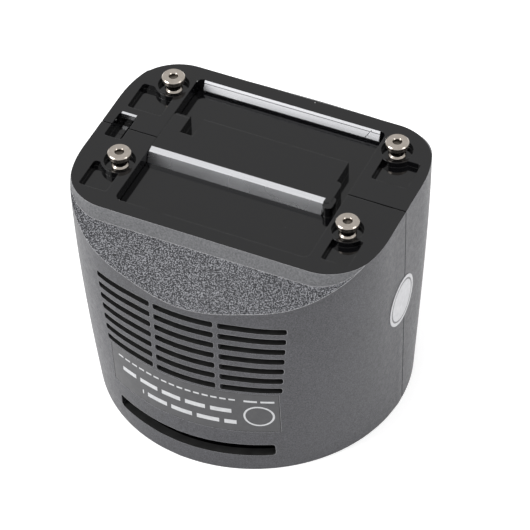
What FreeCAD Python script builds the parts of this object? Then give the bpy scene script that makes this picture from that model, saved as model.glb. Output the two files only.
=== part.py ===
import FreeCAD, Part
import os, math
from FreeCAD import Vector, Rotation, Placement

# Detachable round flash head of a pocket studio strobe.
# Frame: origin at the centre of the front rim, +Z towards the mounting face,
# X along the long side of the mounting face, Y along its short side.
# The head stands on its front rim. All lengths are millimetres.

# ---------------------------------------------------------------- sizes
H = 61.7            # front rim to mounting face
R_RIM = 38.0        # radius of the round front rim
HALF_TOP = 38.3     # half width of the mounting plate along X
R_TOP = 28.5        # plan radius of the plate's side arcs
FLARE = 1.6         # exponent of the flare from round rim to four-cornered top
# how far the section swells out at the mounting face, at every 5 degrees from
# the wide side (0) round to the narrow side (90)
SWELL = [.30, .32, .42, .62, .95, 1.55, 2.25, 2.95, 3.45, 3.75, 3.90, 3.85,
         3.60, 3.13, 2.45, 1.65, .89, .446, .30]
WALL = 2.2          # casing wall
PLATE_T = 5.0       # thickness of the mounting plate
POCKET = 3.0        # depth of the recess
SEAT_D = 1.5        # depth of the stud seats and of the pockets beside them
PLATE_Y = 26.0      # half of the short side of the mounting plate
CORNER_R = 12.0     # plan corner radius of the mounting plate
LEDGE = 3.36        # height of the plate's edge at mid length
LEDGE_DRAFT = 0.3   # outward draft of that edge, per millimetre downwards

STUD_DX, STUD_DY = 57.0, 28.4      # stud spacing
STUD_CY = 3.85                     # pattern centre, off the plate's centre line
STUD_TOP = 2.7                     # stud head above the mounting face
STUD_HEAD_R, STUD_NECK_R, STUD_SHANK_R = 2.73, 1.65, 1.5
STUD_SEAT_R = 3.75                 # counterbore round each stud

WIN_X, WIN_Y0, WIN_Y1 = 24.05, -22.3, 22.45   # recess in the mounting face
WIN_R = 1.6

VENT_ROWS, VENT_PITCH, VENT_H = 7, 3.33, 1.75
VENT_TOP = 49.0                    # upper edge of the top row
VENT_X_TOP, VENT_X_BOT = 23.7, 22.2
VENT_RIB_X, VENT_RIB_W = 7.95, 0.95

RIM_SLOT_Z0, RIM_SLOT_Z1, RIM_SLOT_X = 5.0, 8.8, 20.0

LABEL_X, LABEL_Z0, LABEL_Z1, LABEL_T = 21.4, 13.4, 26.6, 0.3
STICKER_R, STICKER_T = 6.5, 0.15
STICKER_Y, STICKER_Z = -1.6, 34.8

LENS_R, LENS_Z0, LENS_T = 31.1, 3.25, 2.9
TUBE_R, TUBE_r, TUBE_Z = 15.0, 3.2, 24.0
SCREW_X, SCREW_Z = 31.2, 46.6      # screws that join the two half shells

os.makedirs("parts", exist_ok=True)


# ---------------------------------------------------------------- helpers
def V(x, y, z):
    return Vector(x, y, z)


def out(name, shapes):
    """Write one node; several solids share one file as a compound."""
    if not isinstance(shapes, (list, tuple)):
        shapes = [shapes]
    solids = []
    for s in shapes:
        solids += s.Solids
    for s in solids:
        if not s.isValid():
            print("INVALID", name)
    shape = solids[0] if len(solids) == 1 else Part.makeCompound(solids)
    shape.exportStep("parts/" + name + ".step")
    bb = shape.BoundBox
    print("%-20s %2d solids  vol %9.1f  x %6.1f %6.1f  y %6.1f %6.1f  z %6.1f %6.1f" % (
        name, len(solids), shape.Volume, bb.XMin, bb.XMax, bb.YMin, bb.YMax, bb.ZMin, bb.ZMax))


def cyl(r, z0, z1, x=0.0, y=0.0):
    return Part.makeCylinder(r, z1 - z0, V(x, y, z0))


def ring(ro, ri, z0, z1, x=0.0, y=0.0):
    return cyl(ro, z0, z1, x, y).cut(cyl(ri, z0 - 1, z1 + 1, x, y))


def box(x0, x1, y0, y1, z0, z1):
    return Part.makeBox(x1 - x0, y1 - y0, z1 - z0, V(x0, y0, z0))


def rbox(x0, x1, y0, y1, z0, z1, r):
    """Box with rounded upright edges."""
    b = box(x0, x1, y0, y1, z0, z1)
    edges = [e for e in b.Edges if abs(e.Vertexes[0].X - e.Vertexes[1].X) < 1e-6
             and abs(e.Vertexes[0].Y - e.Vertexes[1].Y) < 1e-6]
    return b.makeFillet(r, edges)


def revolve(points):
    """Turned solid about Z from closed (r, z) points."""
    w = Part.makePolygon([V(r, 0, z) for r, z in points] + [V(points[0][0], 0, points[0][1])])
    return Part.Face(w).revolve(V(0, 0, 0), V(0, 0, 1), 360)


def section(z, off):
    """Closed section of the body at height z, as four symmetric quarters."""
    t = min(max(z / H, 0.0), 1.0)
    f = 1.0 - (1.0 - t) ** FLARE
    edges = []
    for q in range(4):
        a0 = math.radians(90.0 * q)
        pts = []
        for i in range(len(SWELL)):
            # even quarters run from the narrow side to the wide side
            b = SWELL[len(SWELL) - 1 - i] if q % 2 == 0 else SWELL[i]
            a = a0 + math.radians(5.0 * i)
            r = R_RIM + f * b + off
            pts.append(V(r * math.cos(a), r * math.sin(a), z))
        a1 = a0 + math.pi / 2
        c = Part.BSplineCurve()
        c.interpolate(Points=pts, InitialTangent=V(-math.sin(a0), math.cos(a0), 0),
                      FinalTangent=V(-math.sin(a1), math.cos(a1), 0))
        edges.append(c.toShape())
    return Part.Wire(edges)


def body(off, zs):
    return Part.makeLoft([section(zz, off) for zz in zs], True, False)


def leg_wire(points, radii):
    """Polyline with its corners replaced by tangent arcs."""
    edges = []
    prev = points[0]
    for i in range(1, len(points) - 1):
        p, a, b = points[i], points[i - 1], points[i + 1]
        u = (a - p).normalize()
        w = (b - p).normalize()
        half = math.acos(max(-1, min(1, u.dot(w)))) / 2.0
        r = radii[i - 1]
        t = r / math.tan(half)
        p1, p2 = p + u * t, p + w * t
        bis = (u + w).normalize()
        mid = p + bis * (r / math.sin(half) - r)
        edges.append(Part.LineSegment(prev, p1).toShape())
        edges.append(Part.Arc(p1, mid, p2).toShape())
        prev = p2
    edges.append(Part.LineSegment(prev, points[-1]).toShape())
    return Part.Wire(edges)


def lead(points, r):
    """Round wire along straight runs joined by arcs as large as the runs allow."""
    pts = [V(*p) for p in points]
    radii = []
    for i in range(1, len(pts) - 1):
        a, b = (pts[i - 1] - pts[i]), (pts[i + 1] - pts[i])
        short = min(a.Length, b.Length)
        turn = math.pi - a.getAngle(b)
        radii.append(0.45 * short / math.tan(turn / 2.0))
    w = leg_wire(pts, radii)
    d = (pts[1] - pts[0]).normalize()
    circ = Part.Wire(Part.Circle(pts[0], d, r).toShape())
    s = w.makePipeShell([circ], True, True)
    print("   lead radii", [round(v, 1) for v in radii], "vol/len*sec %.4f" % (s.Volume / (math.pi * r * r * w.Length)))
    return s


# ---------------------------------------------------------------- body envelope
ZS = [0.0, 0.06 * H, 0.15 * H, 0.28 * H, 0.44 * H, 0.62 * H, 0.81 * H, H]
envelope = body(0.0, ZS)

# Sloping shoulder on each wide side. Its height above the rim is
# SH_Z - s(x) * (|y| - SH_Y): steepest in the middle.
SH_X = [0, 5, 10, 15, 20, 25, 30, 35, 44]
SH_S = [.66, .65, .62, .58, .55, .53, .50, .45, .45]        # front half
SH_S_BACK = [.75, .75, .74, .72, .70, .66, .58, .50, .48]   # back half
SH_Z = H - LEDGE
SH_Y = PLATE_Y + LEDGE * LEDGE_DRAFT


def shoulder_face(sign, drop):
    def curve(yy):
        xs = [-v for v in SH_X[:0:-1]] + SH_X
        pts = []
        for x in xs:
            k = (SH_S if sign < 0 else SH_S_BACK)[SH_X.index(abs(x))]
            pts.append(V(x, sign * yy, SH_Z - drop - k * (yy - SH_Y)))
        c = Part.BSplineCurve()
        c.interpolate(pts)
        return c.toShape()
    return Part.makeRuledSurface(curve(12.0), curve(52.0))


def shoulder_cut(sign, drop):
    return Part.Solid(shoulder_face(sign, drop).extrude(V(0, 0, 40)))


def plate_outline(off, z0):
    """Plan outline of the mounting plate, grown by off."""
    c = HALF_TOP - R_TOP
    R = R_TOP + off
    r = CORNER_R + off
    yy = PLATE_Y + off
    cy = yy - r
    cx = c + math.sqrt((R - r) ** 2 - (cy - c) ** 2)
    ux, uy = (cx - c) / (R - r), (cy - c) / (R - r)
    tx, ty = c + R * ux, c + R * uy           # side arc meets corner arc
    amid = (math.atan2(uy, ux) + math.pi / 2) / 2
    mx, my = cx + r * math.cos(amid), cy + r * math.sin(amid)
    bmid = math.atan2(uy, ux) / 2
    sx, sy = c + R * math.cos(bmid), c + R * math.sin(bmid)
    q = [((c + R, c), (sx, sy), (tx, ty)), ((tx, ty), (mx, my), (cx, yy))]
    edges = []

    def arc(a, m, b):
        edges.append(Part.Arc(V(a[0], a[1], z0), V(m[0], m[1], z0), V(b[0], b[1], z0)).toShape())

    def line(a, b):
        edges.append(Part.LineSegment(V(a[0], a[1], z0), V(b[0], b[1], z0)).toShape())

    # counter-clockwise, one quadrant after another
    arc(*q[0]); arc(*q[1])
    line((cx, yy), (-cx, yy))
    m = lambda p: (-p[0], p[1])
    arc(m(q[1][2]), m(q[1][1]), m(q[1][0])); arc(m(q[0][2]), m(q[0][1]), m(q[0][0]))
    line((-(c + R), c), (-(c + R), -c))
    n = lambda p: (-p[0], -p[1])
    arc(n(q[0][0]), n(q[0][1]), n(q[0][2])); arc(n(q[1][0]), n(q[1][1]), n(q[1][2]))
    line((-cx, -yy), (cx, -yy))
    k = lambda p: (p[0], -p[1])
    arc(k(q[1][2]), k(q[1][1]), k(q[1][0])); arc(k(q[0][2]), k(q[0][1]), k(q[0][0]))
    line((c + R, -c), (c + R, c))
    return Part.Wire(edges)


neck = Part.makeLoft([plate_outline(0.02 + LEDGE_DRAFT * (H - 42.0), 42.0),
                      plate_outline(0.02 - LEDGE_DRAFT * 20.0, H + 20.0)], True, True)
solid_body = envelope
for sg in (-1, 1):
    solid_body = solid_body.cut(shoulder_cut(sg, 0.0).cut(neck))
print("body", solid_body.isValid(), len(solid_body.Solids), round(solid_body.Volume, 1))

# ---------------------------------------------------------------- casing
cavity = body(-WALL, ZS)
cavity = cavity.cut(box(-60, 60, -60, 60, H - PLATE_T, H + 10))
for sg in (-1, 1):
    low = shoulder_cut(sg, 2.7)
    low = low.cut(box(-60, 60, -PLATE_Y + WALL, PLATE_Y - WALL, 0, H + 60))
    cavity = cavity.cut(low)
casing = solid_body.cut(cavity)
print("casing", casing.isValid(), len(casing.Solids), round(casing.Volume, 1))

cuts = []
# recess window, right through the plate; the contact base closes it from below
cuts.append(rbox(-WIN_X, WIN_X, WIN_Y0, WIN_Y1, H - PLATE_T - 1, H + 1, WIN_R))

# stud seats: counterbore and shank hole
STUDS = [(sx * STUD_DX / 2, STUD_CY + sy * STUD_DY / 2) for sx in (-1, 1) for sy in (-1, 1)]
for sx, sy in STUDS:
    cuts.append(cyl(STUD_SEAT_R, H - SEAT_D, H + 1, sx, sy))
    cuts.append(cyl(STUD_SHANK_R + 0.05, H - PLATE_T - 1, H, sx, sy))

# clearance pockets beside the studs, each ending in the round boss of its stud
BOSS_R = 4.45


def pocket(x0, x1, y0, y1, sx, sy):
    return rbox(x0, x1, y0, y1, H - SEAT_D, H + 1, 0.7).cut(cyl(BOSS_R, H - SEAT_D - 1, H + 2, sx, sy))


p3, p1, p4, p2 = STUDS[0], STUDS[1], STUDS[2], STUDS[3]
cuts.append(pocket(-35.2, -26.5, 6.8, 15.6, *p1))
cuts.append(pocket(26.6, 35.5, 7.0, 15.6, *p2))
cuts.append(pocket(-33.8, -26.7, -21.0, -12.6, *p3))
cuts.append(pocket(26.6, 33.4, -21.2, -12.6, *p4))

# latch notch: deep at its outer end, ramped up towards the middle
notch = rbox(-35.8, -31.3, -4.1, 4.2, H - 2.6, H + 1, 0.6)
ramp = Part.Face(Part.makePolygon([V(-33.4, -6, H - 2.8), V(-31.2, -6, H - 1.6), V(-31.2, -6, H - 2.8), V(-33.4, -6, H - 2.8)])).extrude(V(0, 12, 0))
cuts.append(notch.cut(ramp))
cuts.append(box(-35.5, -31.5, 4.1, 5.0, H - 1.35, H + 1))       # seat of the strike plate

# vents: rows of slots in three columns, on both wide sides, pulled along Y
for sg in (-1, 1):
    for row in range(VENT_ROWS):
        zt = VENT_TOP - row * VENT_PITCH
        f = row / (VENT_ROWS - 1.0)
        xe = VENT_X_TOP + (VENT_X_BOT - VENT_X_TOP) * f
        for xa, xb in ((-xe, -VENT_RIB_X - VENT_RIB_W / 2),
                       (-VENT_RIB_X + VENT_RIB_W / 2, VENT_RIB_X - VENT_RIB_W / 2),
                       (VENT_RIB_X + VENT_RIB_W / 2, xe)):
            b = Part.makeBox(xb - xa, 22.0, VENT_H, V(xa, 24.0 if sg > 0 else -46.0, zt - VENT_H))
            up = [e for e in b.Edges if abs(e.Vertexes[0].X - e.Vertexes[1].X) < 1e-6
                  and abs(e.Vertexes[0].Z - e.Vertexes[1].Z) < 1e-6]
            cuts.append(b.makeFillet(0.5, up))
    # long slot near the front rim
    b = Part.makeBox(2 * RIM_SLOT_X, 22.0, RIM_SLOT_Z1 - RIM_SLOT_Z0,
                     V(-RIM_SLOT_X, 24.0 if sg > 0 else -46.0, RIM_SLOT_Z0))
    up = [e for e in b.Edges if abs(e.Vertexes[0].X - e.Vertexes[1].X) < 1e-6
          and abs(e.Vertexes[0].Z - e.Vertexes[1].Z) < 1e-6]
    cuts.append(b.makeFillet(0.8, up))

# parting line: a shallow groove all round where the two halves meet
slab = box(-60, 60, -0.16, 0.16, -5, H + 5)
groove = slab.cut(body(-0.4, ZS).cut(box(-60, 60, -60, 60, H - 0.4, H + 5)))
cuts.append(groove)

casing = casing.cut(cuts)
print("casing cut", casing.isValid(), len(casing.Solids), round(casing.Volume, 1))

# inner rib that traps the lens holder and the reflector housing
rib = ring(37.4, 34.3, 17.2, 18.7).common(body(-1.0, ZS))
# tubular bosses for the joining screws, with a web to the side wall
adds = [rib]
for sx in (-1, 1):
    x = sx * SCREW_X
    for ylen, r0 in ((26.0, 3.7), (-13.0, 3.3)):
        d = V(0, 1 if ylen > 0 else -1, 0)
        adds.append(Part.makeCylinder(r0, abs(ylen), V(x, 0, SCREW_Z), d).common(body(-0.8, ZS)))
    xa, xb = sorted((x, sx * 38.0))
    adds.append(box(xa, xb, -13, 22, SCREW_Z - 0.8, SCREW_Z + 0.8).common(body(-0.8, ZS)))
casing = casing.fuse(adds)
holes = []
for sx in (-1, 1):
    x = sx * SCREW_X
    holes.append(Part.makeCylinder(2.4, 40, V(x, 8.0, SCREW_Z), V(0, 1, 0)))
    holes.append(Part.makeCylinder(1.5, 9, V(x, 0.0, SCREW_Z), V(0, 1, 0)))
    holes.append(Part.makeCylinder(1.3, 10.5, V(x, 0.5, SCREW_Z), V(0, -1, 0)))
    # pilot holes for the contact base screws
    holes.append(cyl(1.05, H - PLATE_T - 1, H - 1.6, sx * 27.4, 1.8))

# label recess
label_zone = box(-LABEL_X, LABEL_X, -45, -20, LABEL_Z0, LABEL_Z1)
label_band = body(0.0, ZS).cut(body(-LABEL_T, ZS))
holes.append(label_zone.common(label_band.fuse(body(1.0, ZS).cut(body(0.0, ZS)))))
casing = casing.cut(holes)
print("casing done", casing.isValid(), len(casing.Solids), round(casing.Volume, 1))

half_f = casing.common(box(-60, 60, -60, 0, -5, H + 5))
half_b = casing.common(box(-60, 60, 0, 60, -5, H + 5))
out("shell_front", max(half_f.Solids, key=lambda s: s.Volume))
out("shell_back", max(half_b.Solids, key=lambda s: s.Volume))
print("pieces", len(half_f.Solids), len(half_b.Solids))

# label and round sticker follow the body surface
g = 0.12
lab = box(-LABEL_X + g, LABEL_X - g, -45, -20, LABEL_Z0 + g, LABEL_Z1 - g).common(
    body(-0.04, ZS).cut(body(-LABEL_T, ZS)))
out("label_plate", lab)
stk = Part.makeCylinder(STICKER_R, 12, V(32, STICKER_Y, STICKER_Z), V(1, 0, 0)).common(
    body(STICKER_T, ZS).cut(body(0.0, ZS)))
out("round_sticker", stk)

# ---------------------------------------------------------------- mounting face
# contact base: tray floor in the recess, flange under the plate, centre block
floor_z = H - POCKET
c = 0.08
base = rbox(-WIN_X + c, WIN_X - c, WIN_Y0 + c, WIN_Y1 - c, H - PLATE_T, floor_z, WIN_R)
base = base.fuse(rbox(-25.6, 25.6, -23.6, 23.6, H - PLATE_T - 1.5, H - PLATE_T, 2.0))
base = base.fuse([rbox(-30.0, -20.0, -3.0, 6.6, H - PLATE_T - 1.5, H - PLATE_T, 1.5),
                  rbox(20.0, 30.0, -3.0, 6.6, H - PLATE_T - 1.5, H - PLATE_T, 1.5)])
STRIP_Y0, STRIP_Y1 = -4.7, -3.1
block = box(-WIN_X + c, 20.0, STRIP_Y1 + 0.02, 9.75, floor_z - 0.5, H)
block = block.cut(box(-20.0, -16.7, 3.6, 12.0, floor_z, H + 1))
right_jog = rbox(18.0, 21.5, -1.1 - 3.4, 2.9, floor_z - 0.5, H, 1.2)
block = block.fuse(right_jog).cut(box(-25.0, 19.9, -6.5, STRIP_Y1 + 0.02, floor_z, H + 1))
post2 = rbox(19.98, 22.4, -6.0, -2.0, floor_z - 0.5, H - 0.15, 1.1)
block = block.fuse(post2)
block = block.common(box(-WIN_X + c, WIN_X - c, -30, 30, 0, H))
base = base.fuse(block)
# soft relief on the block's back edge
base = base.cut(box(-24.5, -20.05, 8.9, 9.9, H - 0.4, H + 1))
# posts for the circuit board
BOARD_Z0, BOARD_T = 47.4, 1.6
POSTS = [(sx * 18.0, sy * 12.5) for sx in (-1, 1) for sy in (-1, 1)]
for x, y in POSTS:
    base = base.fuse(cyl(2.5, BOARD_Z0 + BOARD_T, H - PLATE_T - 1.0, x, y))
for x, y in POSTS:
    base = base.cut(cyl(0.95, BOARD_Z0, H - PLATE_T - 1.4, x, y))
for sx in (-1, 1):
    base = base.cut(cyl(1.15, 40, H, sx * 27.4, 1.8))
base = base.removeSplitter()
out("contact_base", base)

# front guide strip: bright rail along the front of the centre block.
# Section in Y-Z: bevelled top, upright face that leans out slightly at its foot.
sec = [(STRIP_Y1, floor_z), (STRIP_Y1, H), (STRIP_Y1 - 0.15, H), (STRIP_Y0, H - 0.34),
       (STRIP_Y0 - 1.1, floor_z)]
fw = Part.makePolygon([V(-24.3 + 0.4, y, z) for y, z in sec] + [V(-24.3 + 0.4, sec[0][0], sec[0][1])])
front_strip = Part.Face(fw).extrude(V(19.9 + 23.9, 0, 0))
out("front_guide_strip", front_strip)

# rear guide strip: two inclined bands along the back wall of the recess
yb = WIN_Y1 - c
sec = [(yb, floor_z + 0.05), (yb, H - 0.05), (yb - 0.10, H - 0.05), (yb - 0.42, H - 0.60), (yb - 0.42, H - 0.78),
       (yb - 0.34, H - 0.78), (yb - 1.15, H - 2.3), (yb - 0.5, H - 2.3), (yb - 0.5, floor_z + 0.05)]
fw = Part.makePolygon([V(-22.4, y, z) for y, z in sec] + [V(-22.4, sec[0][0], sec[0][1])])
rear_strip = Part.Face(fw).extrude(V(44.9, 0, 0))
cutter = Part.makeBox(0.22, 6, 8, V(-0.11, -3, -4))
cutter.Placement = Placement(V(19.6, yb - 0.6, H - 1.5), Rotation(V(0, 1, 0), 35))
rear_strip = rear_strip.cut(cutter.common(box(10, 30, yb - 2.2, yb - 0.25, H - 2.4, 90)))
out("rear_guide_strip", rear_strip)

# strike plate in the latch notch
out("latch_strike_plate", box(-35.4, -31.6, 4.22, 4.95, H - 1.3, H - 0.06))

# contact studs: turned head with a centre hole, groove, flange, threaded shank
studs, nuts, terms = [], [], []
zt = H + STUD_TOP
seat_z = H - SEAT_D
for x, y in STUDS:
    prof = [(1.0, zt - 0.6), (1.0, zt - 0.25), (1.15, zt), (STUD_HEAD_R - 0.25, zt), (STUD_HEAD_R, zt - 0.25),
            (STUD_HEAD_R, zt - 1.3), (STUD_NECK_R + 0.1, zt - 1.9), (STUD_NECK_R, zt - 2.1),
            (STUD_NECK_R, seat_z + 0.75), (STUD_NECK_R + 0.45, seat_z + 0.4), (STUD_NECK_R + 0.45, seat_z),
            (STUD_SHANK_R, seat_z), (STUD_SHANK_R, 51.2), (STUD_SHANK_R - 0.3, 50.9), (0, 50.9), (0, zt - 0.6)]
    s = revolve(prof)
    s.translate(V(x, y, 0))
    studs.append(s)
    # nut and ring terminal under the plate
    hexa = Part.Face(Part.makePolygon([V(x + 3.1 * math.cos(math.radians(60 * i)), y + 3.1 * math.sin(math.radians(60 * i)), 52.0)
                                       for i in range(7)])).extrude(V(0, 0, 2.2))
    nuts.append(hexa.cut(cyl(STUD_SHANK_R + 0.02, 50, 56, x, y)))
    lug = cyl(2.9, 54.3, 54.9, x, y).fuse(box(x - 1.2, x + 1.2, y - 5.4, y, 54.3, 54.9))
    terms.append(lug.cut(cyl(STUD_SHANK_R + 0.05, 50, 56, x, y)))
out("contact_studs", studs)
out("stud_nuts", nuts)
out("ring_terminals", terms)
# insulating collar between the plate and each terminal
out("stud_collars", [ring(3.3, STUD_SHANK_R + 0.05, 54.95, H - PLATE_T - 0.02, x, y) for x, y in STUDS])

# ---------------------------------------------------------------- screws


def screw(head_r, head_h, shank_r, length, drive=0.55, csk=False):
    """Pan head screw, head top at z = head_h, shank down -Z from z = 0."""
    if csk:
        s = revolve([(0, head_h), (head_r, head_h), (head_r, head_h - 0.25), (shank_r, 0), (shank_r, -length + 0.4),
                     (shank_r * 0.5, -length), (0, -length)])
    else:
        s = revolve([(0, head_h), (head_r - 0.3, head_h), (head_r, head_h - 0.35), (head_r, 0), (shank_r, 0),
                     (shank_r, -length + 0.5), (shank_r * 0.5, -length), (0, -length)])
    a = box(-head_r * 0.55, head_r * 0.55, -0.22, 0.22, head_h - drive, head_h + 1)
    b = box(-0.22, 0.22, -head_r * 0.55, head_r * 0.55, head_h - drive, head_h + 1)
    return s.cut(a.fuse(b))


def placed(s, pos, axis):
    """Turn a screw so that its head points along axis."""
    s = s.copy()
    s.Placement = Placement(V(*pos), Rotation(V(0, 0, 1), V(*axis)))
    return s


out("shell_screws", [placed(screw(2.2, 1.7, 1.25, 16.0), (sx * SCREW_X, 8.02, SCREW_Z), (0, 1, 0)) for sx in (-1, 1)])
out("base_screws", [placed(screw(1.9, 1.3, 1.0, 4.8), (sx * 27.4, 1.8, H - PLATE_T - 1.52), (0, 0, -1)) for sx in (-1, 1)])
out("board_screws", [placed(screw(1.8, 1.2, 0.9, 6.5), (x, y, BOARD_Z0 - 0.02), (0, 0, -1)) for x, y in POSTS])

# ---------------------------------------------------------------- front end
BEZ = [(33.0 * math.cos(math.radians(a)), 33.0 * math.sin(math.radians(a))) for a in (45, 135, 225, 315)]
bezel = revolve([(30.0, 1.0), (30.7, 0.3), (35.1, 0.3), (35.6, 0.8), (35.6, 3.2), (34.75, 3.2), (34.75, 1.85),
                 (31.35, 1.85), (31.35, 3.2), (30.0, 3.2)])
for x, y in BEZ:
    bezel = bezel.cut([cyl(1.15, -1, 4, x, y), Part.makeCone(2.05, 1.15, 0.9, V(x, y, 0.3))])
out("front_bezel", bezel)
acc = ring(34.65, 31.45, 1.9, 3.12)
for x, y in BEZ:
    acc = acc.cut(cyl(1.2, 0, 5, x, y))
out("accessory_ring", acc)

holder = revolve([(31.2, 3.25), (34.8, 3.25), (34.8, 14.5), (35.4, 14.5), (35.4, 15.8), (31.2, 15.8), (31.2, 8.2),
                  (29.2, 8.2), (29.2, 7.0), (31.2, 7.0)])
for x, y in BEZ:
    holder = holder.cut(cyl(1.0, 2, 12.0, x, y))
# raised lip seen through the long slots
holder = holder.fuse(ring(35.15, 34.7, 7.3, 7.9))
out("lens_holder", holder)
out("bezel_screws", [placed(screw(1.95, 0.85, 0.95, 10.0, 0.5, True), (x, y, 1.2), (0, 0, -1)) for x, y in BEZ])

lens = revolve([(0, LENS_Z0), (LENS_R - 0.35, LENS_Z0), (LENS_R, LENS_Z0 + 0.35), (LENS_R, LENS_Z0 + LENS_T - 0.3),
                (LENS_R - 0.3, LENS_Z0 + LENS_T), (0, LENS_Z0 + LENS_T)])
out("front_lens", lens)
out("lens_gasket", ring(31.1, 29.4, LENS_Z0 + LENS_T + 0.03, 6.98))

# reflector: thin spun bowl with a flat back
refl_out = [(29.2, 8.3), (31.1, 8.3), (31.1, 9.1), (29.7, 9.1), (28.9, 13.0), (27.3, 18.0), (25.0, 23.0),
            (22.2, 27.5), (18.8, 31.8), (0, 31.8)]
refl_in = [(0, 31.0), (18.3, 31.0), (21.5, 27.0), (24.2, 22.6), (26.5, 17.7), (28.1, 12.8), (28.9, 8.3)]
refl = revolve(refl_out + refl_in)
TUBE_A = 28.0      # half of the gap in the ring tube, degrees, centred on -Y
legs = [(TUBE_R * math.sin(math.radians(s * TUBE_A)), -TUBE_R * math.cos(math.radians(TUBE_A))) for s in (-1, 1)]
for x, y in legs:
    refl = refl.cut(cyl(4.3, 29, 34, x, y))
out("reflector", refl)

# flash tube: ring with two upright legs
tor = Part.makeTorus(TUBE_R, TUBE_r, V(0, 0, TUBE_Z), V(0, 0, 1), 0, 360, 360 - 2 * TUBE_A)
tor.rotate(V(0, 0, 0), V(0, 0, 1), -90 + TUBE_A)
tube = tor
for x, y in legs:
    tube = tube.fuse([Part.makeSphere(TUBE_r, V(x, y, TUBE_Z)), cyl(TUBE_r, TUBE_Z, 37.0, x, y)])
out("flash_tube", tube)
out("tube_seals", [revolve([(3.25, 29.8), (5.2, 29.8), (5.2, 30.9), (4.25, 30.95), (4.25, 31.85), (5.2, 31.9), (5.2, 33.4), (3.25, 33.4)]
                           ).translated(V(x, y, 0)) for x, y in legs])
out("tube_electrodes", [cyl(2.6, 37.02, 38.0, x, y).fuse(cyl(0.8, 38.0, 39.8, x, y)) for x, y in legs])
# trigger wire follows the ring on its outer side
tw = Part.makeTorus(TUBE_R + TUBE_r + 0.32, 0.25, V(0, 0, TUBE_Z), V(0, 0, 1), 0, 360, 360 - 2 * TUBE_A - 12)
tw.rotate(V(0, 0, 0), V(0, 0, 1), -90 + TUBE_A + 6)
out("trigger_wire", tw)

# tube carrier behind the reflector
carrier = ring(19.0, 10.2, 33.5, 36.2)
LUGS = [(23.5 * math.cos(math.radians(a)), 23.5 * math.sin(math.radians(a))) for a in (90, 205, 335)]
for x, y in LUGS:
    ang = math.degrees(math.atan2(y, x))
    arm = box(14, 23.5, -2.4, 2.4, 33.5, 36.2)
    arm.rotate(V(0, 0, 0), V(0, 0, 1), ang)
    carrier = carrier.fuse([arm, cyl(2.9, 33.5, 40.9, x, y)])
for x, y in LUGS:
    carrier = carrier.cut(cyl(1.0, 34.5, 42, x, y))
for x, y in legs:
    carrier = carrier.cut(cyl(3.5, 30, 40, x, y))
out("tube_carrier", carrier)

# black housing round the reflector, seen behind the vents
house = revolve([(31.6, 15.9), (35.3, 15.9), (35.3, 17.1), (33.4, 17.1), (33.4, 36.0), (27.6, 42.2), (12.5, 42.2),
                 (12.5, 41.0), (27.0, 41.0), (32.2, 35.4), (32.2, 17.1), (31.6, 17.1)])
for x, y in LUGS:
    house = house.cut(cyl(1.15, 38, 45, x, y))
for x, y in legs:
    house = house.cut(cyl(2.0, 38, 45, x, y))
# low stiffening ribs round the housing
fins = []
for zz in (20.0, 26.0, 32.0):
    fins.append(ring(34.2, 33.2, zz, zz + 0.9))
house = house.fuse(fins)
out("reflector_housing", house)
out("carrier_screws", [placed(screw(1.9, 1.2, 0.95, 6.0), (x, y, 42.22), (0, 0, 1)) for x, y in LUGS])

# modelling lamp
out("lamp_board", cyl(7.6, 29.9, 30.96).cut([cyl(0.6, 29, 32, 6.4, 0), cyl(0.6, 29, 32, -6.4, 0)]))
out("lamp_leds", [box(i * 3.0 - 1.1, i * 3.0 + 1.1, j * 3.0 - 1.1, j * 3.0 + 1.1, 29.2, 29.88)
                  for i in (-1, 0, 1) for j in (-1, 0, 1)])
sink = cyl(9.4, 31.85, 33.2)
for k in range(-3, 4):
    hw = math.sqrt(9.0 ** 2 - (k * 2.5) ** 2)
    sink = sink.fuse(box(k * 2.5 - 0.45, k * 2.5 + 0.45, -hw, hw, 33.0, 40.4))
out("lamp_heat_sink", sink)

# ---------------------------------------------------------------- electronics
board = rbox(-22.0, 22.0, -16.0, 16.0, BOARD_Z0, BOARD_Z0 + BOARD_T, 1.5)
for x, y in POSTS:
    board = board.cut(cyl(1.1, 40, 60, x, y))
out("main_board", board)
zb = BOARD_Z0 + BOARD_T + 0.02
coil = Part.makeCylinder(2.5, 9.0, V(-4.5, 6.0, zb + 2.75), V(1, 0, 0))
coil = coil.fuse([Part.makeCylinder(2.74, 1.2, V(-5.7, 6.0, zb + 2.75), V(1, 0, 0)),
                  Part.makeCylinder(2.74, 1.2, V(4.5, 6.0, zb + 2.75), V(1, 0, 0))])
out("trigger_coil", coil)
out("trigger_capacitor", rbox(-6.0, 4.0, -6.2, -1.6, zb, zb + 5.2, 0.8))
out("control_chips", [box(8.0, 13.0, -4.5, 0.5, zb, zb + 1.1), box(-14.0, -10.5, -3.0, 1.0, zb, zb + 1.4),
                      box(8.5, 12.0, 9.0, 11.0, zb, zb + 1.2), box(-12.5, -9.5, 8.5, 10.5, zb, zb + 1.2)])
out("lead_connector", rbox(-5.0, 5.0, 12.0, 15.6, BOARD_Z0 - 3.2, BOARD_Z0 - 0.02, 0.4))

# ---------------------------------------------------------------- internal leads
r_w = 0.8
pw = []
for s, (lx, ly) in zip((-1, 1), legs):
    pw.append(lead([(s * 28.5, -10.35 + STUD_CY - 3.85 - 5.0, 54.25), (s * 28.5, -15.4, 50.5), (s * 26.0, -17.0, 46.0),
                    (s * 19.0, -17.6, 44.6), (s * 12.0, -16.4, 44.6), (lx, ly, 43.8), (lx, ly, 39.95)], r_w))
out("power_leads", pw)
sg_leads = []
for s in (-1, 1):
    sg_leads.append(lead([(s * 28.5, 12.9, 54.25), (s * 28.3, 12.6, 50.0), (s * 25.0, 13.0, 45.6), (s * 18.0, 13.6, 44.9),
                          (s * 11.0, 13.8, 45.4), (s * 5.05, 13.8, 45.6)], 0.6))
out("board_leads", sg_leads)
print("done")
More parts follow.
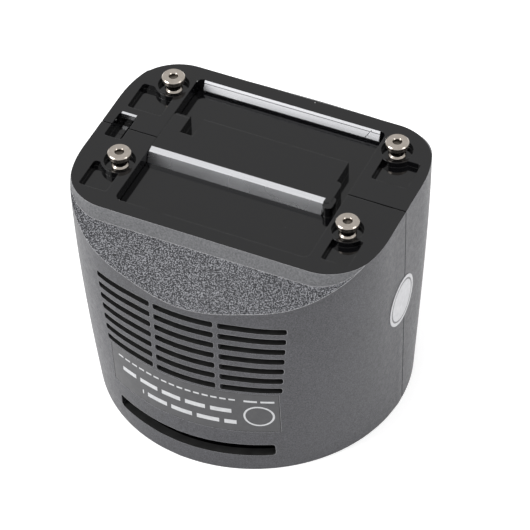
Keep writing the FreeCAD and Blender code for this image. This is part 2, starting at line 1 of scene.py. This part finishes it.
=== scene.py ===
# Looks of the round flash head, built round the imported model.
import bpy
import math
from mathutils import Vector, Matrix

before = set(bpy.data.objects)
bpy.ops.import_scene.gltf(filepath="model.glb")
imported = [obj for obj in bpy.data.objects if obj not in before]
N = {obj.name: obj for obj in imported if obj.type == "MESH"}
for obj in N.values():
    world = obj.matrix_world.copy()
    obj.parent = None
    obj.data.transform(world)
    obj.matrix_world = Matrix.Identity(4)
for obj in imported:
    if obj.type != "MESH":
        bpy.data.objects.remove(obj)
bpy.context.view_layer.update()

H = 0.0617                  # mounting face above the rim
FLOOR_Z = H - 0.0030        # recess floor
scene = bpy.context.scene
scene.view_settings.view_transform = "Standard"
scene.view_settings.look = "None"
scene.view_settings.exposure = 0.0
scene.view_settings.gamma = 1.0


# ------------------------------------------------------------------ camera
def add_camera():
    az, el, roll = math.radians(26.065), math.radians(44.930), math.radians(-1.794)
    dist, f = 0.73294, 3107.8
    d = Vector((math.sin(az) * math.cos(el), -math.cos(az) * math.cos(el), math.sin(el)))
    target = Vector((0.0, 0.0, 0.030))
    pos = target + d * dist
    fw = -d
    r = fw.cross(Vector((0, 0, 1))).normalized()
    u = r.cross(fw)
    r2 = math.cos(roll) * r + math.sin(roll) * u
    u2 = -math.sin(roll) * r + math.cos(roll) * u
    m = Matrix.Identity(4)
    for i in range(3):
        m[i][0], m[i][1], m[i][2], m[i][3] = r2[i], u2[i], -fw[i], pos[i]
    data = bpy.data.cameras.new("camera")
    data.sensor_width = 36.0
    data.lens = f * 36.0 / 530.0
    data.shift_x = 10.4 / 530.0
    data.shift_y = -1.4 / 530.0
    data.clip_start = 0.01
    data.clip_end = 20.0
    cam = bpy.data.objects.new("camera", data)
    cam.matrix_world = m
    scene.collection.objects.link(cam)
    scene.camera = cam
    return cam


camera = add_camera()


# ------------------------------------------------------------------ materials
class Mat:
    """A Principled material with short helpers for its procedural detail."""

    def __init__(self, name):
        self.m = bpy.data.materials.new(name)
        self.m.use_nodes = True
        self.nt = self.m.node_tree
        self.b = self.nt.nodes["Principled BSDF"]
        self.tc = self.nt.nodes.new("ShaderNodeTexCoord")

    def set(self, **kw):
        for k, v in kw.items():
            self.b.inputs[k.replace("_", " ")].default_value = v
        return self

    def node(self, kind, **kw):
        n = self.nt.nodes.new(kind)
        for k, v in kw.items():
            setattr(n, k, v)
        return n

    def link(self, a, b):
        self.nt.links.new(a, b)

    def mapped(self, scale=(1, 1, 1), loc=(0, 0, 0), rot=(0, 0, 0)):
        n = self.node("ShaderNodeMapping")
        n.inputs["Scale"].default_value = scale
        n.inputs["Location"].default_value = loc
        n.inputs["Rotation"].default_value = rot
        self.link(self.tc.outputs["Object"], n.inputs["Vector"])
        return n.outputs["Vector"]

    def noise(self, scale, detail=2.0, rough=0.5, vec=None, distortion=0.0):
        n = self.node("ShaderNodeTexNoise")
        n.inputs["Scale"].default_value = scale
        n.inputs["Detail"].default_value = detail
        n.inputs["Roughness"].default_value = rough
        n.inputs["Distortion"].default_value = distortion
        self.link(vec if vec is not None else self.tc.outputs["Object"], n.inputs["Vector"])
        return n.outputs["Fac"]

    def voronoi(self, scale, feature="F1", vec=None, out="Distance", randomness=1.0):
        n = self.node("ShaderNodeTexVoronoi", feature=feature)
        n.inputs["Scale"].default_value = scale
        n.inputs["Randomness"].default_value = randomness
        self.link(vec if vec is not None else self.tc.outputs["Object"], n.inputs["Vector"])
        return n.outputs[out]

    def remap(self, fac, lo, hi, a, b, clamp=True):
        n = self.node("ShaderNodeMapRange")
        n.clamp = clamp
        n.inputs["From Min"].default_value = lo
        n.inputs["From Max"].default_value = hi
        n.inputs["To Min"].default_value = a
        n.inputs["To Max"].default_value = b
        self.link(fac, n.inputs["Value"])
        return n.outputs["Result"]

    def math(self, op, a, b=None, c=None):
        n = self.node("ShaderNodeMath", operation=op)
        for i, v in enumerate((a, b, c)):
            if v is None:
                continue
            if isinstance(v, (int, float)):
                n.inputs[i].default_value = v
            else:
                self.link(v, n.inputs[i])
        return n.outputs[0]

    def ramp(self, fac, stops):
        n = self.node("ShaderNodeValToRGB")
        e = n.color_ramp.elements
        while len(e) > 1:
            e.remove(e[-1])
        e[0].position, e[0].color = stops[0][0], (*stops[0][1], 1)
        for p, c in stops[1:]:
            x = e.new(p)
            x.color = (*c, 1)
        self.link(fac, n.inputs["Fac"])
        return n.outputs["Color"]

    def mix(self, fac, a, b):
        n = self.node("ShaderNodeMix", data_type="RGBA")
        ins = [s for s in n.inputs if s.type == "RGBA"]
        fac_in = n.inputs[0]
        if isinstance(fac, (int, float)):
            fac_in.default_value = fac
        else:
            self.link(fac, fac_in)
        for s, v in zip(ins, (a, b)):
            if isinstance(v, tuple):
                s.default_value = (*v, 1)
            else:
                self.link(v, s)
        return [s for s in n.outputs if s.type == "RGBA"][0]

    def color(self, out):
        self.link(out, self.b.inputs["Base Color"])
        return self

    def rough(self, out):
        self.link(out, self.b.inputs["Roughness"])
        return self

    def bump(self, height, strength, dist, under=None, edge=None):
        """Bump on top of an optional rounded edge of that radius."""
        n = self.node("ShaderNodeBump")
        n.inputs["Strength"].default_value = strength
        n.inputs["Distance"].default_value = dist
        self.link(height, n.inputs["Height"])
        if edge:
            bv = self.node("ShaderNodeBevel", samples=6)
            bv.inputs["Radius"].default_value = edge
            self.link(bv.outputs["Normal"], n.inputs["Normal"])
        if under is not None:
            self.link(under, n.inputs["Normal"])
        self.link(n.outputs["Normal"], self.b.inputs["Normal"])
        return n.outputs["Normal"]

    def painted_edge_highlight(self, radius, lo=0.015, hi=0.12):
        """1 near the mesh's hard edges, 0 elsewhere: the mask for a painted highlight line along them."""
        bev = self.node("ShaderNodeBevel", samples=4)
        bev.inputs["Radius"].default_value = radius
        geo = self.node("ShaderNodeNewGeometry")
        dot = self.node("ShaderNodeVectorMath", operation="DOT_PRODUCT")
        self.link(bev.outputs["Normal"], dot.inputs[0])
        self.link(geo.outputs["Normal"], dot.inputs[1])
        # the parting groove at Y = 0 gets no painted highlight and stays dark
        sep = self.node("ShaderNodeSeparateXYZ")
        self.link(self.tc.outputs["Object"], sep.inputs["Vector"])
        away = self.math("GREATER_THAN", self.math("ABSOLUTE", sep.outputs["Y"]), 0.002)
        mask = self.remap(self.math("SUBTRACT", 1.0, dot.outputs["Value"]), lo, hi, 0.0, 1.0)
        return self.math("MULTIPLY", mask, away)

    def edge(self, radius):
        bv = self.node("ShaderNodeBevel", samples=6)
        bv.inputs["Radius"].default_value = radius
        self.link(bv.outputs["Normal"], self.b.inputs["Normal"])
        return self


def g(v):
    return (v, v, v)


def mat_shell_satin():
    m = Mat("shell_satin").set(Metallic=0.0, IOR=1.46)
    big = m.noise(60, 3, 0.6)
    fine = m.noise(3400, 2, 0.6)
    base = m.ramp(big, [(0.3, (0.031, 0.031, 0.036)), (0.7, (0.037, 0.037, 0.043))])
    speck = m.remap(fine, 0.32, 0.70, 0.35, 1.75)
    n = m.node("ShaderNodeVectorMath", operation="SCALE")
    m.link(base, n.inputs[0])
    m.link(speck, n.inputs["Scale"])
    # painted highlight: a light grey is mixed into the colour along hard edges
    m.color(m.mix(m.math("MULTIPLY", m.painted_edge_highlight(0.00025), 0.6), n.outputs["Vector"], (0.34, 0.34, 0.35)))
    m.rough(m.remap(m.noise(900, 3), 0.3, 0.7, 0.36, 0.48))
    m.bump(fine, 0.45, 0.00006, edge=0.00022)
    return m.m


def mat_shell_grain():
    m = Mat("shell_grain").set(Metallic=0.0, IOR=1.46)
    a = m.noise(3600, 2.0, 0.55)
    v = m.voronoi(3900)
    h = m.math("ADD", m.math("MULTIPLY", a, 1.0), m.math("MULTIPLY", v, -0.7))
    n2 = m.noise(140, 3, 0.6)
    base = m.ramp(a, [(0.42, (0.006, 0.006, 0.009)), (0.5, (0.036, 0.037, 0.043)), (0.585, (0.235, 0.238, 0.255))])
    # painted highlight: a light grey is mixed into the colour along hard edges
    m.color(m.mix(m.math("MULTIPLY", m.painted_edge_highlight(0.00028), 0.85), base, (0.50, 0.50, 0.51)))
    m.rough(m.remap(n2, 0.3, 0.7, 0.45, 0.58))
    m.bump(h, 1.0, 0.00014)
    return m.m


def mat_gloss_black(name="gloss_black", dust=1.0, edge=0.00018, rough=(0.05, 0.15)):
    m = Mat(name).set(Metallic=0.0, IOR=1.45)
    smudge = m.noise(85, 5, 0.62, distortion=0.8)
    m.rough(m.remap(smudge, 0.35, 0.75, rough[0], rough[1]))
    base = (0.0022, 0.0022, 0.0028)
    # sparse dust specks and short hairline scratches
    vn = m.node("ShaderNodeTexVoronoi", feature="F1")
    vn.inputs["Scale"].default_value = 420
    m.link(m.tc.outputs["Object"], vn.inputs["Vector"])
    sep = m.node("ShaderNodeSeparateColor")
    m.link(vn.outputs["Color"], sep.inputs["Color"])
    chosen = m.math("GREATER_THAN", sep.outputs["Red"], 0.92)
    size = m.math("MULTIPLY", sep.outputs["Green"], 0.095)
    dot = m.math("LESS_THAN", vn.outputs["Distance"], size)
    spots = m.math("MULTIPLY", dot, chosen)
    sv = m.mapped(scale=(1.0, 0.12, 1.0), rot=(0, 0, 0.9))
    vs = m.node("ShaderNodeTexVoronoi", feature="F1")
    vs.inputs["Scale"].default_value = 520
    m.link(sv, vs.inputs["Vector"])
    sep2 = m.node("ShaderNodeSeparateColor")
    m.link(vs.outputs["Color"], sep2.inputs["Color"])
    line = m.math("MULTIPLY", m.math("LESS_THAN", vs.outputs["Distance"], 0.05),
                  m.math("GREATER_THAN", sep2.outputs["Blue"], 0.965))
    marks = m.math("MULTIPLY", m.math("MAXIMUM", spots, line), min(0.55 * dust, 0.9))
    m.color(m.mix(marks, base, (0.62, 0.62, 0.62)))
    m.bump(m.noise(300, 2), 0.06, 0.00004, edge=edge)
    return m.m


def mat_inner():
    m = Mat("shell_inside").set(Metallic=0.0, IOR=1.45)
    m.color(m.ramp(m.noise(400, 3), [(0.3, g(0.010)), (0.7, g(0.018))]))
    m.rough(m.remap(m.noise(700, 2), 0.3, 0.7, 0.45, 0.6))
    return m.m


def mat_strip(name="strip_metal"):
    m = Mat(name).set(Metallic=1.0)
    v = m.mapped(scale=(25, 500, 500))
    streak = m.noise(3, 4, 0.7, vec=v)
    geo = m.node("ShaderNodeNewGeometry")
    nz = m.node("ShaderNodeSeparateXYZ")
    m.link(geo.outputs["Normal"], nz.inputs["Vector"])
    oz = m.node("ShaderNodeSeparateXYZ")
    m.link(m.tc.outputs["Object"], oz.inputs["Vector"])
    # painted shade: the strip's upright faces on the front side are mixed towards dark grey, more strongly higher up
    upright = m.remap(nz.outputs["Z"], 0.45, 0.75, 1.0, 0.0)
    front = m.math("LESS_THAN", oz.outputs["Y"], 0.0)
    low = m.remap(oz.outputs["Z"], FLOOR_Z, H, 0.0, 0.42)
    shade = m.math("MULTIPLY", m.math("MULTIPLY", upright, front), low)
    tone = m.ramp(streak, [(0.3, (0.77, 0.775, 0.80)), (0.7, (0.84, 0.845, 0.87))])
    m.color(m.mix(shade, tone, (0.30, 0.31, 0.33)))
    m.rough(m.remap(m.noise(90, 2, 0.5), 0.3, 0.7, 0.25, 0.28))
    m.bump(streak, 0.02, 0.00001, edge=0.00005)
    return m.m


def mat_label():
    """Satin film with greeked print: rows of plain dashes and a plain ring."""
    m = Mat("label_film").set(Metallic=0.0, IOR=1.46)
    sep = m.node("ShaderNodeSeparateXYZ")
    m.link(m.tc.outputs["Object"], sep.inputs["Vector"])
    x, z = sep.outputs["X"], sep.outputs["Z"]

    def band(v, lo, hi):
        return m.math("MULTIPLY", m.math("GREATER_THAN", v, lo), m.math("LESS_THAN", v, hi))

    def row(x0, x1, z0, z1, pitch, fill, phase):
        cell = m.math("FRACT", m.math("ADD", m.math("DIVIDE", x, pitch), phase))
        dash = m.math("LESS_THAN", cell, fill)
        return m.math("MULTIPLY", m.math("MULTIPLY", band(x, x0, x1), band(z, z0, z1)), dash)

    parts = []
    for r in ROWS:
        parts.append(row(*r))
    dx = m.math("SUBTRACT", x, RING[0])
    dz = m.math("SUBTRACT", z, RING[1])
    rr = m.math("SQRT", m.math("ADD", m.math("MULTIPLY", dx, dx), m.math("MULTIPLY", dz, dz)))
    parts.append(band(rr, RING[2] - 0.00045, RING[2]))
    ink = parts[0]
    for q in parts[1:]:
        ink = m.math("MAXIMUM", ink, q)
    wear = m.remap(m.noise(900, 3), 0.3, 0.7, 0.82, 1.0)
    ink = m.math("MULTIPLY", ink, wear)
    film = m.ramp(m.noise(700, 3), [(0.32, (0.036, 0.036, 0.039)), (0.68, (0.044, 0.044, 0.047))])
    n = m.node("ShaderNodeMix", data_type="RGBA")
    m.link(ink, n.inputs["Factor"])
    m.link(film, n.inputs[6])
    n.inputs[7].default_value = (0.46, 0.465, 0.475, 1)
    m.color(n.outputs[2])
    m.rough(m.remap(m.noise(500, 2), 0.3, 0.7, 0.36, 0.44))
    m.bump(m.noise(2400, 2), 0.12, 0.00004, edge=0.0001)
    return m.m


def mat_sticker():
    m = Mat("sticker_paper").set(Metallic=0.0, IOR=1.46)
    sep = m.node("ShaderNodeSeparateXYZ")
    m.link(m.tc.outputs["Object"], sep.inputs["Vector"])
    dy = m.math("ADD", sep.outputs["Y"], 0.0016)
    dz = m.math("SUBTRACT", sep.outputs["Z"], 0.0348)
    rr = m.math("SQRT", m.math("ADD", m.math("MULTIPLY", dy, dy), m.math("MULTIPLY", dz, dz)))
    line = m.math("MULTIPLY", m.math("GREATER_THAN", rr, 0.0052), m.math("LESS_THAN", rr, 0.00565))
    paper = m.ramp(m.noise(900, 3), [(0.32, (0.40, 0.40, 0.415)), (0.68, (0.47, 0.47, 0.485))])
    n = m.node("ShaderNodeMix", data_type="RGBA")
    m.link(line, n.inputs["Factor"])
    m.link(paper, n.inputs[6])
    n.inputs[7].default_value = (0.10, 0.10, 0.105, 1)
    m.color(n.outputs[2])
    m.rough(m.remap(m.noise(700, 3), 0.3, 0.7, 0.35, 0.5))
    m.bump(m.noise(2500, 2), 0.1, 0.00003, edge=0.0001)
    return m.m


def mat_ledge():
    m = Mat("shell_ledge").set(Metallic=0.0, IOR=1.46)
    fine = m.noise(2600, 2, 0.6)
    # painted highlight: a light grey is mixed into the colour along hard edges
    m.color(m.mix(m.math("MULTIPLY", m.painted_edge_highlight(0.00025), 0.75),
                  m.ramp(fine, [(0.3, (0.062, 0.063, 0.068)), (0.7, (0.135, 0.136, 0.142))]), (0.45, 0.45, 0.46)))
    m.rough(m.remap(m.noise(900, 3), 0.3, 0.7, 0.38, 0.50))
    m.bump(fine, 0.35, 0.00006, edge=0.0002)
    return m.m


def mat_nickel():
    m = Mat("stud_nickel").set(Metallic=1.0)
    # turning marks: distance from the nearest stud axis
    sep = m.node("ShaderNodeSeparateXYZ")
    m.link(m.tc.outputs["Object"], sep.inputs["Vector"])
    lx = m.math("SUBTRACT", m.math("ABSOLUTE", sep.outputs["X"]), 0.0285)
    ly = m.math("SUBTRACT", m.math("ABSOLUTE", m.math("SUBTRACT", sep.outputs["Y"], 0.00385)), 0.0142)
    rr = m.math("SQRT", m.math("ADD", m.math("MULTIPLY", lx, lx), m.math("MULTIPLY", ly, ly)))
    comb = m.node("ShaderNodeCombineXYZ")
    m.link(m.math("MULTIPLY", rr, 1.0), comb.inputs["X"])
    m.link(m.math("MULTIPLY", sep.outputs["Z"], 1.0), comb.inputs["Y"])
    rings = m.noise(14000, 2, 0.6, vec=comb.outputs["Vector"])
    wear = m.noise(900, 4, 0.65)
    m.color(m.ramp(wear, [(0.3, (0.42, 0.375, 0.33)), (0.7, (0.50, 0.455, 0.41))]))
    m.rough(m.remap(wear, 0.3, 0.7, 0.13, 0.26))
    m.bump(rings, 0.22, 0.00002, edge=0.00008)
    return m.m


def mat_simple(name, lo, hi, rough=(0.4, 0.55), scale=500, metallic=0.0, bump=0.15, dist=0.00004, edge=None, ior=1.46, **kw):
    m = Mat(name).set(Metallic=metallic, IOR=ior, **kw)
    nz = m.noise(scale, 3, 0.6)
    m.color(m.ramp(nz, [(0.32, lo), (0.68, hi)]))
    m.rough(m.remap(m.noise(scale * 1.7, 3), 0.3, 0.7, rough[0], rough[1]))
    m.bump(m.noise(scale * 3, 2), bump, dist, edge=edge)
    return m.m


def mat_glass(name, tint, rough, scale=300):
    m = Mat(name).set(Metallic=0.0, IOR=1.46)
    m.b.inputs["Transmission Weight"].default_value = 1.0
    m.b.inputs["Base Color"].default_value = (*tint, 1)
    m.rough(m.remap(m.noise(scale, 3), 0.3, 0.7, rough[0], rough[1]))
    m.bump(m.noise(scale * 4, 2), 0.05, 0.00003)
    return m.m


M_SATIN = mat_shell_satin()
M_GRAIN = mat_shell_grain()
M_GLOSS = mat_gloss_black("mounting_gloss")
M_BASE = mat_gloss_black("contact_base_gloss", 1.3)
M_INNER_GLOSS = mat_gloss_black("inner_gloss", 2.5, rough=(0.06, 0.22))
M_INSIDE = mat_inner()
M_STRIP = mat_strip()
M_NICKEL = mat_nickel()
# painted shade for the stud bores: dark metal in place of the shade inside them
M_BORE_SHADE = mat_simple("stud_bore_painted_shade", (0.055, 0.048, 0.040), (0.16, 0.14, 0.12), (0.25, 0.4), 900, 1.0, 0.2)
M_STEEL = mat_simple("screw_steel", (0.05, 0.05, 0.052), (0.11, 0.11, 0.115), (0.3, 0.45), 900, 1.0, 0.2, edge=0.00008)
M_TIN = mat_simple("tinned_copper", (0.60, 0.58, 0.54), (0.74, 0.72, 0.69), (0.25, 0.4), 800, 1.0)
M_INSUL = mat_simple("insulator", (0.60, 0.58, 0.52), (0.70, 0.68, 0.62), (0.5, 0.65), 400)
# greeked print on the label: x0, x1, z0, z1, pitch, filled share, phase (metres)
ROWS = [(-0.0196, 0.0119, 0.0238, 0.0243, 0.0021, 0.70, 0.10),
        (-0.0180, 0.0119, 0.0195, 0.0208, 0.0062, 0.80, 0.05),
        (-0.0122, 0.0119, 0.0158, 0.0171, 0.0066, 0.82, 0.62),
        (0.0131, 0.0206, 0.0237, 0.0243, 0.0037, 0.80, 0.30)]
RING = (0.0169, 0.0190, 0.0034)
M_LABEL = mat_label()
M_STICKER = mat_sticker()
M_LEDGE = mat_ledge()
M_BEZEL = mat_simple("bezel_satin", (0.022, 0.022, 0.024), (0.034, 0.034, 0.036), (0.35, 0.48), 900, edge=0.0002)
M_RING = mat_simple("ring_steel", (0.40, 0.40, 0.40), (0.55, 0.55, 0.55), (0.25, 0.4), 400, 1.0)
M_LENS = mat_glass("front_glass", (0.96, 0.98, 0.98), (0.02, 0.06))
M_SIL = mat_simple("silicone", (0.62, 0.62, 0.58), (0.70, 0.70, 0.66), (0.45, 0.6), 500)
M_REFL = mat_simple("reflector_spun", (0.88, 0.88, 0.89), (0.94, 0.94, 0.95), (0.12, 0.2), 200, 1.0)
M_TUBE = mat_glass("tube_quartz", (0.97, 0.985, 0.98), (0.01, 0.04))
M_ELEC = mat_simple("electrode_nickel", (0.45, 0.44, 0.42), (0.6, 0.59, 0.57), (0.25, 0.4), 800, 1.0)
M_MCPCB = mat_simple("lamp_board_white", (0.72, 0.72, 0.71), (0.80, 0.80, 0.79), (0.35, 0.45), 600)
M_LED = mat_simple("led_phosphor", (0.78, 0.60, 0.08), (0.88, 0.72, 0.16), (0.2, 0.3), 900)
M_SINK = mat_simple("heat_sink", (0.42, 0.43, 0.45), (0.55, 0.56, 0.58), (0.3, 0.45), 500, 1.0)
M_PCB = mat_simple("board_green", (0.012, 0.10, 0.035), (0.02, 0.15, 0.05), (0.25, 0.4), 900)
M_COIL = mat_simple("coil_lacquer", (0.25, 0.07, 0.02), (0.42, 0.14, 0.04), (0.2, 0.35), 1800)
M_CAP = mat_simple("capacitor_dip", (0.35, 0.06, 0.02), (0.45, 0.09, 0.03), (0.15, 0.3), 600)
M_CHIP = mat_simple("chip_epoxy", (0.018, 0.018, 0.018), (0.03, 0.03, 0.03), (0.45, 0.6), 1200)
M_CONN = mat_simple("connector_nylon", (0.70, 0.68, 0.58), (0.78, 0.76, 0.68), (0.4, 0.5), 700)
M_RED = mat_simple("lead_red", (0.35, 0.015, 0.01), (0.45, 0.025, 0.02), (0.4, 0.5), 700)
M_BLK = mat_simple("lead_black", (0.012, 0.012, 0.012), (0.022, 0.022, 0.022), (0.4, 0.5), 700)

NODE_MATS = {
    "contact_base": M_BASE, "front_guide_strip": M_STRIP, "rear_guide_strip": M_STRIP,
    "latch_strike_plate": M_STRIP, "contact_studs": M_NICKEL, "stud_nuts": M_TIN, "ring_terminals": M_TIN,
    "stud_collars": M_INSUL, "label_plate": M_LABEL, "round_sticker": M_STICKER, "shell_screws": M_STEEL,
    "base_screws": M_STEEL, "board_screws": M_STEEL, "front_bezel": M_BEZEL, "accessory_ring": M_RING,
    "lens_holder": M_INNER_GLOSS, "bezel_screws": M_STEEL, "front_lens": M_LENS, "lens_gasket": M_SIL,
    "reflector": M_REFL, "flash_tube": M_TUBE, "tube_seals": M_SIL, "tube_electrodes": M_ELEC,
    "trigger_wire": M_ELEC, "tube_carrier": M_INSUL, "reflector_housing": M_INNER_GLOSS,
    "carrier_screws": M_STEEL, "lamp_board": M_MCPCB, "lamp_leds": M_LED, "lamp_heat_sink": M_SINK,
    "main_board": M_PCB, "trigger_coil": M_COIL, "trigger_capacitor": M_CAP, "control_chips": M_CHIP,
    "lead_connector": M_CONN, "power_leads": M_RED, "board_leads": M_BLK,
}
for name, m in NODE_MATS.items():
    o = N[name]
    o.data.materials.clear()
    o.data.materials.append(m)


# ------------------------------------------------------------------ casing halves
SWELL = [.30, .32, .42, .62, .95, 1.55, 2.25, 2.95, 3.45, 3.75, 3.90, 3.85,
         3.60, 3.13, 2.45, 1.65, .89, .446, .30]


def body_gap(x, y, z):
    """Distance outside (+) or inside (-) the casing's outer surface, in mm."""
    t = min(max(z / 61.7, 0.0), 1.0)
    f = 1.0 - (1.0 - t) ** 1.6
    a = math.degrees(math.atan2(abs(x), abs(y))) / 5.0
    i = min(int(a), 17)
    b = SWELL[i] + (SWELL[i + 1] - SWELL[i]) * (a - i)
    return math.hypot(x, y) - 38.0 - f * b


def plate_gap(x, y, z=61.7):
    """Distance outside (+) or inside (-) the mounting plate's drafted outline, in mm."""
    off = 0.3 * (61.7 - z)
    c, R, r, yy = 9.8, 28.5 + off, 12.0 + off, 26.0 + off
    cy = yy - r
    cx = c + math.sqrt((R - r) ** 2 - (cy - c) ** 2)
    ax, ay = abs(x), abs(y)
    if ay <= c:
        return ax - (c + R)
    if ax <= cx and ay > cy:
        return ay - yy
    side = math.hypot(ax - c, ay - c) - R
    if ay > cy and ax > cx and (ay - cy) * (cx - c) > (ax - cx) * (cy - c):
        return math.hypot(ax - cx, ay - cy) - r
    return max(side, ay - yy)


SH_X = [0, 5, 10, 15, 20, 25, 30, 35, 44]
SH_S = [.66, .65, .62, .58, .55, .53, .50, .45, .45]
SH_S_BACK = [.75, .75, .74, .72, .70, .66, .58, .50, .48]


def shoulder_z(x, y):
    a = min(abs(x), 43.9)
    sl = SH_S if y < 0 else SH_S_BACK
    for i in range(len(SH_X) - 1):
        if a <= SH_X[i + 1]:
            break
    s = sl[i] + (sl[i + 1] - sl[i]) * (a - SH_X[i]) / (SH_X[i + 1] - SH_X[i])
    return 58.34 - s * (abs(y) - 27.008)


def paint_shell(o):
    me = o.data
    me.materials.clear()
    for m in (M_SATIN, M_GRAIN, M_GLOSS, M_INSIDE, M_LEDGE):
        me.materials.append(m)
    for p in me.polygons:
        c = p.center * 1000.0
        n = p.normal
        bg, pg = body_gap(*c), plate_gap(c.x, c.y, c.z)
        k = 3
        if abs(c.z - shoulder_z(c.x, c.y)) < 0.25 and n.z > 0.5 and pg > -0.08 and bg < 0.2 and c.z < 61.69:
            k = 1                                   # grained shoulder
        elif abs(pg) < 0.12 and abs(c.y) > 17 and 50 < c.z < 61.69 and 0.1 < n.z < 0.5:
            k = 4                                   # upright edge of the plate
        elif c.z > 61.7 - 5.1 and pg < -0.05 and bg < -0.12:
            k = 2                                   # mounting face, recess and pockets
        elif bg > -0.5 or (c.z < 0.4 and n.z < -0.5):
            k = 0                                   # outer skin and the rim it stands on
        elif bg > -2.3 and n.z < 0.9 and abs(c.y) > 20 and c.z < 50:
            k = 0 if bg > -1.2 else 3
        p.material_index = k


for name in ("shell_front", "shell_back"):
    paint_shell(N[name])

# the drilled centre of each stud gets painted shade: a dark dull metal standing in for the shade inside the hole
o = N["contact_studs"]
o.data.materials.append(M_BORE_SHADE)
for p in o.data.polygons:
    c = p.center * 1000.0
    if c.z > 63.5 and math.hypot(abs(c.x) - 28.5, abs(c.y - 3.85) - 14.2) < 1.04:
        p.material_index = 1


# ------------------------------------------------------------------ studio
def add_floor():
    me = bpy.data.meshes.new("studio_floor")
    s = 6.0
    z = -0.0001
    me.from_pydata([(-s, -s, z), (s, -s, z), (s, s, z), (-s, s, z)], [], [(0, 1, 2, 3)])
    o = bpy.data.objects.new("studio_floor", me)
    scene.collection.objects.link(o)
    m = Mat("floor_white").set(Roughness=0.9)
    m.b.inputs["Base Color"].default_value = (0.9, 0.9, 0.9, 1)
    m.b.inputs["Emission Color"].default_value = (1, 1, 1, 1)
    m.b.inputs["Emission Strength"].default_value = 0.42
    me.materials.append(m.m)
    return o


add_floor()


def area(name, pos, target, size, power, color=(1, 1, 1), shape="RECTANGLE", size_y=None):
    data = bpy.data.lights.new(name, "AREA")
    data.shape = shape
    data.size = size
    if size_y:
        data.size_y = size_y
    data.energy = power
    data.color = color
    o = bpy.data.objects.new(name, data)
    o.location = pos
    d = Vector(target) - Vector(pos)
    o.rotation_euler = d.to_track_quat("-Z", "Y").to_euler()
    scene.collection.objects.link(o)
    return o


area("softbox_left", (-0.80, -0.70, 0.62), (0, 0, 0.04), 0.6, 10.5, size_y=0.8)
area("softbox_right", (1.05, -0.05, 0.50), (0, 0, 0.04), 0.5, 3.2, size_y=0.7)

world = bpy.data.worlds.new("studio")
scene.world = world
world.use_nodes = True
wn = world.node_tree
bg = wn.nodes["Background"]
bg.inputs["Color"].default_value = (1, 1, 1, 1)
bg.inputs["Strength"].default_value = 0.85
